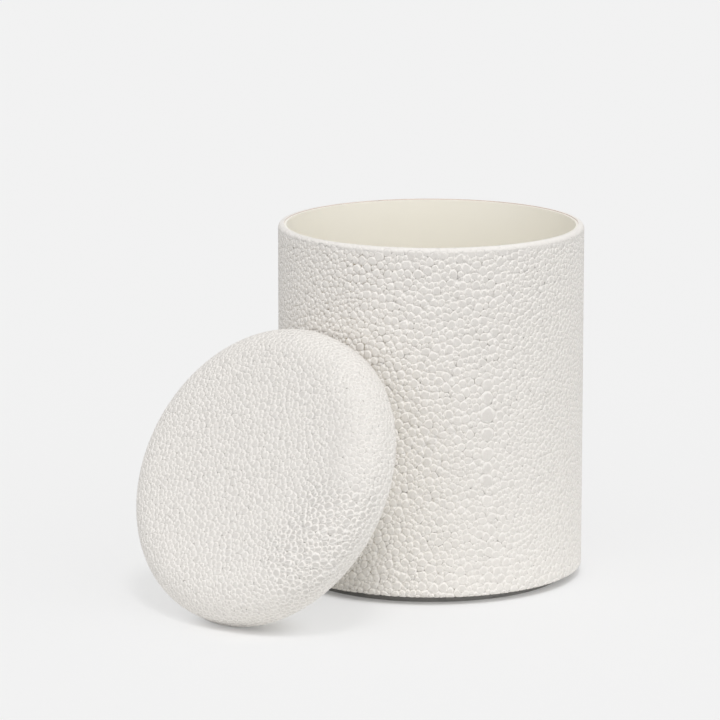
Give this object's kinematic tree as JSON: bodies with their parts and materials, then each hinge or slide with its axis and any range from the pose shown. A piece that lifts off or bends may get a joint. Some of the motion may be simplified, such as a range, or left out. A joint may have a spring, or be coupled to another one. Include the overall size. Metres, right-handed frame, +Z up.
{
  "type": "lidded canister",
  "caption": "Round canister wrapped in pebbled shagreen sheet, open at the top, with its pillow-edged lid leaning on the wall.",
  "frame": {"origin": "centre of the canister's base pad, on the surface that it stands on", "axes": "+Z up along the canister's axis, +X to the right and +Y away from the viewer; the lid leans on the front left of the wall"},
  "size_m": [0.1655, 0.1692, 0.1327],
  "materials": {
    "shagreen": "satin pebbled grain",
    "cream_lining": "smooth satin",
    "base_felt": "matt felt",
    "board": "matt",
    "turned_core": "matt fibreboard"
  },
  "bodies": {
    "root": {"base_pad": "base_felt", "base_board": "board", "wall_core": "board", "outer_wrap": "shagreen", "wall_lining": "cream_lining", "floor_lining": "cream_lining", "lid_core": "turned_core", "lid_wrap": "shagreen", "lid_plug": "turned_core", "plug_lining": "cream_lining"}
  },
  "joints": []
}
